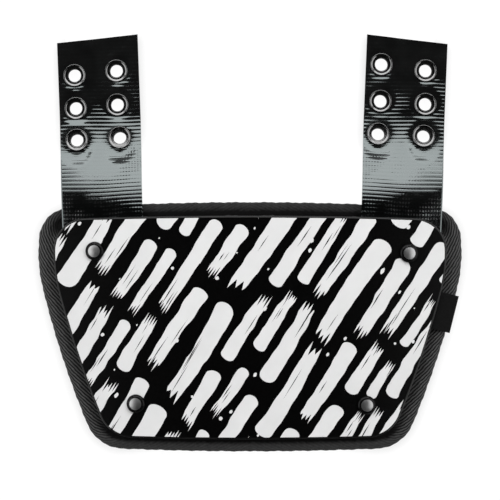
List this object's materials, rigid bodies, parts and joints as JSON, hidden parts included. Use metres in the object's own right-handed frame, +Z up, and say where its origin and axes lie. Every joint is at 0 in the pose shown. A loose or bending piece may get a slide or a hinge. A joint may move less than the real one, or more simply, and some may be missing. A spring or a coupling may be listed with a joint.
{
  "type": "football back plate",
  "caption": "Bowed hard-shell football back plate riveted over a bound foam pad, with ribbed coated webbing straps whose metal eyelets fasten it to shoulder pads.",
  "frame": {"origin": "on the resting surface, under the middle of the bounding box", "axes": "+Z up out of the shell's front, +Y from the waist edge towards the strap ends, +X to the right seen from the front with the straps up"},
  "size_m": [0.2646, 0.2592, 0.0277],
  "materials": {
    "shell": "satin black moulded plastic with a light grey print",
    "pad": "black lining cloth over foam",
    "binding": "dark grey twill tape",
    "strap": "glossy black coating over ribbed webbing",
    "eyelet": "dark nickel",
    "rivet": "satin black",
    "tag": "black woven ribbon, bare"
  },
  "bodies": {
    "root": {"shell_plate": "shell", "foam_pad": "pad", "edge_binding": "binding", "strap_left": "strap", "strap_right": "strap", "eyelet_left_1": "eyelet", "eyelet_left_2": "eyelet", "eyelet_left_3": "eyelet", "eyelet_left_4": "eyelet", "eyelet_left_5": "eyelet", "eyelet_left_6": "eyelet", "eyelet_right_1": "eyelet", "eyelet_right_2": "eyelet", "eyelet_right_3": "eyelet", "eyelet_right_4": "eyelet", "eyelet_right_5": "eyelet", "eyelet_right_6": "eyelet", "rivet_top_left": "rivet", "rivet_top_right": "rivet", "rivet_bottom_left": "rivet", "rivet_bottom_right": "rivet", "side_tag": "tag"}
  },
  "joints": []
}
